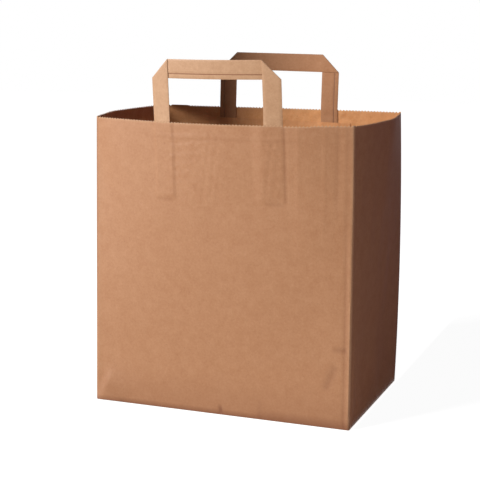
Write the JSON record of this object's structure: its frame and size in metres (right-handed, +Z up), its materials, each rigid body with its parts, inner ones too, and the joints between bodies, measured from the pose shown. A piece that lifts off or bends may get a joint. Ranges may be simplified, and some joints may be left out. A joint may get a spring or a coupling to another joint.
{
  "type": "paper carrier bag",
  "caption": "Open brown kraft paper carrier bag with a flat folded bottom, side gussets and two flat folded paper handles glued inside.",
  "frame": {"origin": "middle of the base, on the surface the bag stands on", "axes": "+Z up, -Y towards the front panel, +X to the right as seen from the front"},
  "size_m": [0.2794, 0.2001, 0.335],
  "materials": {
    "kraft_sheet": "matt brown kraft paper",
    "kraft_strip": "matt brown kraft paper, folded to three plies",
    "kraft_patch": "matt brown kraft paper"
  },
  "bodies": {
    "root": {"bag_body": "kraft_sheet", "front_handle": "kraft_strip", "rear_handle": "kraft_strip", "front_patch": "kraft_patch", "rear_patch": "kraft_patch"}
  },
  "joints": []
}
